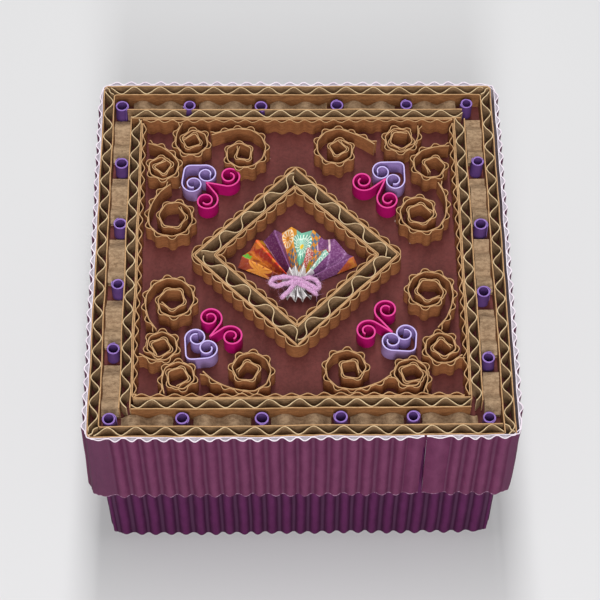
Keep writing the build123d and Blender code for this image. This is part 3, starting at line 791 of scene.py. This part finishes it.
# Hearts and scrolls: one strip each, folded in the middle and curled at both ends
quilling = {
    "heart": {
        "radius": 3.1, "inside": 1.2, "turns": 1.3, "side": 1, "sheet": 0.36, "ease": 1.9, "slot": "lilac_paper",
        "face": ("lilacFace", (182, 156, 212), (160, 132, 194), 0.62),
        "edge": ("lilacEdge", (214, 200, 246), (188, 170, 230), 0.6),
        "places": {
            "back_left": ((-32.9, 30.0), (-26.8, 27.0), (-30.5, 23.8)),
            "back_right": ((30.8, 30.9), (24.2, 27.7), (27.7, 24.6)),
            "front_left": ((-31.3, -33.6), (-28.5, -26.8), (-25.5, -30.0)),
            "front_right": ((31.4, -31.5), (28.8, -25.8), (25.2, -28.0)),
        },
    },
    "scroll": {
        "radius": 3.5, "inside": 1.05, "turns": 1.5, "side": -1, "sheet": 0.45, "ease": 0.4, "slot": "magenta_paper",
        "face": ("magentaFace", (204, 14, 122), (176, 6, 102), 0.58),
        "edge": ("magentaEdge", (230, 74, 154), (212, 52, 134), 0.6),
        "places": {
            "back_left": ((-26.8, 24.3), (-20.1, 26.4), (-26.6, 18.0)),
            "back_right": ((25.2, 25.3), (18.6, 24.6), (25.8, 18.3)),
            "front_left": ((-24.9, -26.5), (-24.9, -20.4), (-18.9, -26.4)),
            "front_right": ((25.5, -25.4), (24.0, -18.1), (18.6, -24.9)),
        },
    },
}


def curl(kind, fold, middle, way):
    # straight from the fold to the curl's edge, then round it, closing in
    radius, turns = kind["radius"], kind["turns"]
    dx, dy = fold[0] - middle[0], fold[1] - middle[1]
    start = atan2(dy, dx) + way * acos(min(1, radius / span(middle, fold)))
    path = between(fold, (middle[0] + radius * cos(start), middle[1] + radius * sin(start)), 8)
    steps = round(48 * turns)
    for k in range(1, steps + 1):
        turn = k / steps
        r = radius + (kind["inside"] - radius) * turn ** 0.85
        angle = start + way * 2 * pi * turns * turn
        path.append((middle[0] + r * cos(angle), middle[1] + r * sin(angle)))
    return path


def curledPair(kind, fold, first, second):
    cross = (first[0] - fold[0]) * (second[1] - fold[1]) - (first[1] - fold[1]) * (second[0] - fold[0])
    way = kind["side"] if cross > 0 else -kind["side"]
    one, two = curl(kind, fold, first, way), curl(kind, fold, second, -way)
    path = one[:6:-1] + rounded([one[6], fold, two[6]], kind["ease"], steps=6) + two[7:]
    shape = Shape()
    ribbon(shape, path, deck + 0.03, deck + 5.1, kind["sheet"] / 2, -kind["sheet"] / 2, rows=2)
    return shape


for name, kind in quilling.items():
    face, edge = [paper(*kind[part][:3], 0.4, speck, relief=relief, rough=kind[part][3])
                  for part, speck, relief in (("face", 0.06, 0.2), ("edge", 0.05, 0.15))]
    for place, points in kind["places"].items():
        node = name + "_" + place
        pair = curledPair(kind, *points)
        pair.build([node], [face, edge], kind["slot"], name=node.title().replace("_", ""))
print("Quilling ready")

# Fan: one pleated paper. Each fold runs from its place on the rim through the neck to its splayed end
fan = {"sheet": 0.14, "panels": 14, "white": 0.29, "across": 8, "along": 40, "behind": 12}
rimFolds = [
    (-17.3, -1.7, 0.6), (-16.2, 0.5, 3.0), (-13.9, 3.5, 0.7), (-12.1, 5.7, 3.4), (-10.0, 6.9, 0.7), (-6.9, 9.1, 3.4),
    (-4.8, 9.6, 0.7), (-2.1, 10.0, 3.5), (0.9, 9.6, 0.7), (4.3, 8.9, 3.4), (7.2, 7.4, 0.7), (10.2, 5.9, 3.4),
    (13.6, 2.8, 0.7), (15.3, 0.4, 3.0), (16.4, -1.2, 0.6),
]


def foldLine(k):
    x, y, lift = rimFolds[k]
    tall = 4.1 if k % 2 else 0.35
    neck = (-0.75 + (k - 7) * 0.26, -8.3)
    tail = (-0.5 + (k - 7) * 0.6 + 0.3 * sin(k * 1.7), -13.0 - 0.7 * rng.random() + abs(k - 7) * 0.13)
    end = (*tail, 0.5 + 3.3 * (0.5 + 0.5 * cos(k * 1.7)))
    return [end, (neck[0], neck[1] - 1.6, tall - 0.1), (*neck, tall), (x, y, lift)]


def smoothLine(knots, count):
    # an even curve through the knots
    points = []
    for j in range(count + 1):
        t = (len(knots) - 1) * j / count
        k = min(int(t), len(knots) - 2)
        t -= k
        p = [Vector(knots[min(max(k + d, 0), len(knots) - 1)]) for d in (-1, 0, 1, 2)]
        points.append(0.5 * (2 * p[1] + (p[2] - p[0]) * t + (2 * p[0] - 5 * p[1] + 4 * p[2] - p[3]) * t * t
                             + (3 * p[1] - p[0] - 3 * p[2] + p[3]) * t ** 3))
    return points


lines = []
for k in range(fan["panels"] + 1):
    knots = foldLine(k)
    low = smoothLine(knots[:3], fan["behind"])
    neck, end = Vector(knots[2]), Vector(knots[3])
    high = [neck.lerp(end, j / fan["along"]) for j in range(fan["along"] + 1)]
    # each fold bows a little between the neck and the rim
    lift = Vector((0, 0, 0.2 * (knots[2][2] - knots[3][2])))
    high = [p + lift * sin(pi * (j / fan["along"])) * 0.8 for j, p in enumerate(high)]
    lines.append(low[:-1] + high)
columns, along = [], []
for k in range(fan["panels"]):
    for c in range(fan["across"]):
        share = c / fan["across"]
        bulge = Vector((0, 0, 0.12 * sin(pi * share) * (1 if k % 2 else -1)))
        columns.append([a.lerp(b, share) + bulge for a, b in zip(lines[k], lines[k + 1])])
        along.append(k + share)
columns.append(lines[-1])
along.append(fan["panels"])
rows = [list(row) for row in zip(*columns)]
count = len(rows)


def fanNormal(r, c):
    u = rows[min(r + 1, count - 1)][c] - rows[max(r - 1, 0)][c]
    v = rows[r][min(c + 1, len(along) - 1)] - rows[r][max(c - 1, 0)]
    return u.cross(v).normalized()


fanShape = Shape()
marks, sheets = [], []
for side, flip in ((1, True), (-1, False)):
    above = Vector((0, 0, deck + 0.05))
    sheet = [[bend(*(p + above - fanNormal(r, c) * side * fan["sheet"] / 2)) for c, p in enumerate(row)]
             for r, row in enumerate(rows)]
    fanShape.grid(sheet, 0 if side > 0 else 1, flip=flip)
    marks += [(place, max(-1, (r - fan["behind"]) / fan["along"])) for r in range(count) for place in along]
    sheets.append(sheet)
for r, flip in ((0, True), (count - 1, False)):
    fanShape.grid([sheet[r] for sheet in sheets], 1, flip=flip)
    marks += [(0, 0)] * (2 * len(along))
for c, flip in ((0, False), (len(along) - 1, True)):
    fanShape.grid([[row[c] for row in sheet] for sheet in sheets], 1, flip=flip)
    marks += [(0, 0)] * (2 * count)


def fanPrint():
    f = Finish("fanPrint")
    # places across the fan in panels, and along it from the neck at 0 to the rim at 1
    p, v = f.parts(f.node("ShaderNodeUVMap", {"uv_map": "print"}, {})[0])[:2]
    across, along = p * 3.6, v * 17

    def paint(below, colour, low, high, start=-0.1, end=1.2, lean=0.0):
        # a field of the print, between two places across the fan and two along it
        q = p + v * lean
        mask = (q > low) * (q < high) * (v > start) * (v < end)
        return f.mix(mask, below, colour)

    def motif(centre):
        # distance and direction from a place on the print
        dx, dy = across - centre[0] * 3.6, along - centre[1] * 17
        return (dx * dx + dy * dy).maths("SQRT"), dy.maths("ARCTAN2", dx)

    def mottled(pattern, low, high, first, second):
        # two colours in soft patches
        return f.mix(pattern.ramp(low, high), shade(*first), shade(*second))

    grain, patch = f.noise(0.5, 4, 0.7), f.noise(2.4, 2, 0.5)
    gold = shade(226, 150, 46)
    odd = ((across / 1.15).maths("FLOOR") + (along / 1.15).maths("FLOOR")).maths("PINGPONG", 1)
    checked = f.mix(odd, gold, shade(104, 124, 142))
    violet = mottled(grain, 0.35, 0.75, (112, 58, 110), (152, 98, 150))
    colour = mottled(patch, 0.35, 0.65, (176, 84, 52), (158, 62, 40))
    for field in [
        (mottled(patch, 0.4, 0.6, (150, 70, 22), (206, 122, 26)), 1, 1.98),
        (mottled(patch, 0.42, 0.6, (150, 46, 32), (196, 108, 40)), 2, 3.1),
        (mottled(patch, 0.45, 0.62, (214, 52, 32), (236, 130, 48)), 2.86, 3.3),
        (mottled(patch, 0.4, 0.62, (128, 34, 26), (206, 148, 24)), 3.3, 4),
        (shade(206, 30, 24), 3.55, 4, 0.42, 0.58),
        (violet, 3.95, 5.98),
        (mottled(grain, 0.3, 0.8, (82, 30, 74), (104, 44, 92)), 4.05, 4.9),
        (checked, 6.1, 10.9, -0.1, 1.2, -0.15),
        (gold, 5.95, 7.6, 0.62, 1.2, -0.1),
        (shade(126, 192, 168), 7.5, 8.9, 0.4),
    ]:
        colour = paint(colour, *field)
    # two rayed circles: place, reach, petals and the colours of ground, petals and heart
    for centre, reach, petals, ground, petal, heart in (
        ((6.5, 0.84), 2.6, 12, (226, 150, 46), (246, 226, 190), (214, 132, 30)),
        ((8.15, 0.74), 3.7, 18, (104, 178, 156), (232, 246, 234), (238, 190, 40)),
    ):
        distance, direction = motif(centre)
        rays = (direction * petals).maths("SINE").ramp(0.1, 0.5)
        rings = (distance * 3.2).maths("SINE").ramp(0.55, 0.85)
        flower = f.mix(rays.maths("MAXIMUM", rings * 0.7), shade(*ground), shade(*petal))
        flower = f.mix(distance < 0.75, flower, shade(*heart))
        colour = f.mix(distance < reach, colour, flower)
    stripes = ((across * 1.3 + along * 0.9).maths("SINE")).ramp(0.86, 0.97)
    for field in [
        (mottled(f.noise(0.45, 1, 0.3), 0.5, 0.58, (196, 72, 70), (244, 220, 210)), 8.8, 9.7, 0.3, 0.66),
        (shade(196, 168, 40), 9.55, 9.95, 0.3, 0.5),
        (violet, 9.8, 12.2, 0.8),
        (f.mix(stripes, violet, shade(232, 200, 210)), 9.7, 11.3, 0.76),
        (violet, 11.25, 13.0),
        (f.mix(stripes * grain.ramp(0.35, 0.6), violet, shade(186, 140, 190)), 11.3, 12.9, 0.5),
        (mottled(f.noise(0.55, 2, 0.5), 0.45, 0.56, (128, 190, 170), (226, 240, 226)), 10.75, 11.3, 0.3, 0.74),
    ]:
        colour = paint(colour, *field)
    ember = mottled(patch, 0.4, 0.6, (186, 84, 44), (222, 140, 60))
    colour = f.mix((p > 13.0) * (v > (14 - p) * 0.3 + 0.62), paint(colour, violet, 13.0, 14.1, -1), ember)
    # a leaf on the first panel and a small flower on the second
    distance, direction = motif((0.42, 0.62))
    lobes = (direction * 3).maths("COSINE").maths("ABSOLUTE") * 3.0 + 1.5
    veins = (direction * 6).maths("COSINE").ramp(0.93, 0.99)
    leaf = f.mix(veins, shade(240, 158, 66), shade(206, 112, 44))
    colour = f.mix((distance < lobes) * (p < 1.0), colour, leaf)
    distance, direction = motif((1.25, 0.93))
    lobes = (direction * 2.5).maths("SINE").maths("ABSOLUTE") * 0.8 + 0.7
    colour = f.mix((distance < lobes) * (p > 1), colour, shade(104, 186, 62))
    # the paper is white towards the neck
    middling = (p > 4) * (p < 11.6)
    edge = (v - 0.03 * (p * 2.3).maths("SINE")) < middling * 0.14 + (fan["white"] - 0.14)
    colour = f.mix(edge, colour, shade(238, 236, 236))
    # painted shade: the open ends of the folds are painted dark inside, where shade falls between them
    colour = f.mix(((p * 1.7).maths("COSINE") < -0.25) * (v < -0.19) * 0.85, colour, shade(84, 70, 74))
    colour = f.mix(grain.ramp(0.5, 0.8) * 0.18, colour, shade(250, 240, 235))
    return f.surface(colour, grain * 0.1 + 0.55, grain, 0.25, 0.1, Specular_IOR_Level=0.3)


whitePaper = paper("whitePaper", (240, 238, 238), (214, 210, 212), speck=0.05)
fanPiece = fanShape.build(["fan"], [fanPrint(), whitePaper], "printed_paper", name="paperFan")
layer = fanPiece.data.uv_layers.new(name="print")
for loop in fanPiece.data.loops:
    layer.data[loop.index].uv = marks[loop.vertex_index]
print("Fan ready")

# Yarn bow round the fan's neck: two loops, two ends and the knot
yarn = {"radius": 0.74, "plies": 3, "twist": 9.0, "level": deck + 4.6}


def yarnAlong(shape, knots, radius):
    # three plies twisted round one another, a little uneven
    curve = smoothLine(knots, 12 * (len(knots) - 1))
    travelled = 0
    centres = []
    for j, p in enumerate(curve):
        travelled += (p - curve[j - 1]).length if j else 0
        centres.append((p, travelled))
    for ply in range(yarn["plies"]):
        rings = []
        for j, (p, s) in enumerate(centres):
            tangent = (curve[min(j + 1, len(curve) - 1)] - curve[max(j - 1, 0)]).normalized()
            side = tangent.cross(Vector((0, 0, 1)))
            side = side.normalized() if side.length > 0.1 else Vector((1, 0, 0))
            over = side.cross(tangent)
            turn = 2 * pi * (s / yarn["twist"] + ply / yarn["plies"])
            ease = min(1, 0.45 + min(s, centres[-1][1] - s) * 0.8)
            middle = p + (side * cos(turn) + over * sin(turn)) * radius * 0.36 * (0.6 + 0.4 * ease)
            thick = radius * 0.72 * ease * (1 + 0.2 * noise.noise(middle * 1.7))
            ring = []
            for a in (2 * pi * q / 9 for q in range(9)):
                rough = 1 + 0.12 * noise.noise(Vector((a * 2, s * 3, ply)))
                ring.append(middle + (side * cos(a) + over * sin(a)) * thick * rough)
            rings.append(ring)
        shape.grid(rings, around=True)
        shape.cap(rings[0])
        shape.cap(rings[-1], flip=True)
    return centres


# points along each part, with heights from the yarn's level
bowKnots = {
    "left": [(-0.6, -8.6, 0.3), (-2.6, -7.5, 0), (-5.0, -7.1, -0.2), (-7.4, -7.5, -0.7),
             (-8.1, -8.7, -1.0), (-6.6, -9.8, -0.6), (-4.2, -9.5, 0), (-0.7, -8.7, 0.5)],
    "right": [(-0.8, -8.6, 0.3), (0.9, -7.9, 0), (2.9, -7.5, -0.2), (4.7, -8.1, -0.7),
              (5.4, -9.8, -1.0), (4.7, -10.7, -0.8), (3.0, -9.8, -0.2), (-0.4, -8.7, 0.5)],
    "endLeft": [(0.6, -8.2, 0.7), (-1.2, -9.6, 0.6), (-3.0, -11.5, -0.4), (-5.4, -13.4, -1.6)],
    "endRight": [(-1.6, -8.4, 0.5), (0.8, -10.2, 0.4), (3.0, -11.2, -0.3), (5.0, -12.5, -1.4)],
    "knot": [(-2.1, -8.2, -0.6), (-1.4, -8.1, 0.5), (-0.3, -8.8, 0.9), (0.8, -9.3, 0.6), (1.2, -10.0, -0.5)],
    "neck": [(-2.6, -8.9, -3.6), (-2.7, -8.9, -1.2), (-0.7, -8.8, 0.2), (1.3, -8.9, -1.2), (1.2, -8.9, -3.6)],
}
yarnFinish = Finish("pinkYarn")
tuft = yarnFinish.noise(0.35, 4, 0.65)
fuzz = yarnFinish.noise(0.09, 2, 0.6)
tone = (tuft * 0.7 + fuzz * 0.4).ramp(0.35, 0.8)
yarnColour = yarnFinish.mix(tone, shade(180, 118, 168), shade(244, 202, 238))
yarnFinish.surface(yarnColour, tuft * 0.1 + 0.8, fuzz + tuft, 0.6, 0.15,
                   Sheen_Weight=0.5, Sheen_Roughness=0.5, Specular_IOR_Level=0.1)
bow = Shape()
strays = []
for name, knots in bowKnots.items():
    knots = [Vector((x, y, yarn["level"] + z)) for x, y, z in knots]
    strays += yarnAlong(bow, knots, yarn["radius"] * (1.2 if name == "knot" else 0.92))
for k in range(1500):
    # loose fibres
    p, s = rng.choice(strays)
    away = Vector((rng.gauss(0, 1), rng.gauss(0, 1), abs(rng.gauss(0, 0.5)))).normalized()
    start = p + away * yarn["radius"] * 0.8
    turn = Vector((rng.gauss(0, 1), rng.gauss(0, 1), rng.gauss(0, 0.5))).normalized()
    reach = rng.uniform(0.3, 1.1)
    wide = turn.cross(away).normalized() * 0.03
    arc = [start + away * reach * q + turn * reach * q * q * 0.9 for q in (0, 0.35, 0.7, 1)]
    bow.grid([[q + wide * side * (1 - j / 4) for j, q in enumerate(arc)] for side in (-1, 1)])
bow.build(["yarn_bow"], [yarnFinish.material], "pink_yarn")
print("Bow ready")

# Studio
floorFinish = Finish("studioFloor").surface(shade(222, 222, 223), 0.9, Specular_IOR_Level=0.1)
ground = Shape()
ground.grid([[Vector((x, y, -0.02)) for x in (-1500, 1500)] for y in (-1200, 1500)])
floorPiece = ground.build([], [floorFinish], body="base", name="floor")
floorPiece.parent = None

# each lamp's place, aim, size and power
lamps = {
    "top": ((0, 0.32, 0.9), (0, 0.05, 0), (0.14, 1.0), 6.5),
    "front": ((0, -0.8, 0.75), (0, 0, 0.03), (0.14, 0.7), 7.3),
}
for name, (place, aim, size, power) in lamps.items():
    lamp = bpy.data.lights.new(name, "AREA")
    lamp.shape = "RECTANGLE"
    lamp.size, lamp.size_y = size
    lamp.energy = power
    made = bpy.data.objects.new(name, lamp)
    bpy.context.scene.collection.objects.link(made)
    made.location = Vector(place)
    made.rotation_mode = "QUATERNION"
    made.rotation_quaternion = (Vector(aim) - Vector(place)).to_track_quat("-Z", "Y")
world = bpy.data.worlds.new("world")
world.use_nodes = True
sky = world.node_tree.nodes["Background"].inputs
sky[0].default_value, sky[1].default_value = (1, 1, 1, 1), 0.14
scene = bpy.context.scene
scene.world = world

view = {"azimuth": -0.578, "elevation": 59.74, "roll": 0.08, "distance": 0.5767, "lens": 124.7,
        "target": (0.00003, -0.01555, rim * mm)}
az, el = radians(view["azimuth"]), radians(view["elevation"])
back = Vector((sin(az) * cos(el), -cos(az) * cos(el), sin(el)))
right = Vector((cos(az), sin(az), 0))
up = back.cross(right)
lens = bpy.data.cameras.new("camera")
lens.lens, lens.sensor_width = view["lens"], 36
lens.clip_start, lens.clip_end = 0.01, 20
camera = bpy.data.objects.new("camera", lens)
scene.collection.objects.link(camera)
facing = Matrix((right, up, back)).transposed().to_4x4()
place = Matrix.Translation(Vector(view["target"]) + back * view["distance"])
camera.matrix_world = place @ facing @ Matrix.Rotation(radians(view["roll"]), 4, "Z")
scene.camera = camera
scene.view_settings.view_transform = "Standard"
print("Studio ready")
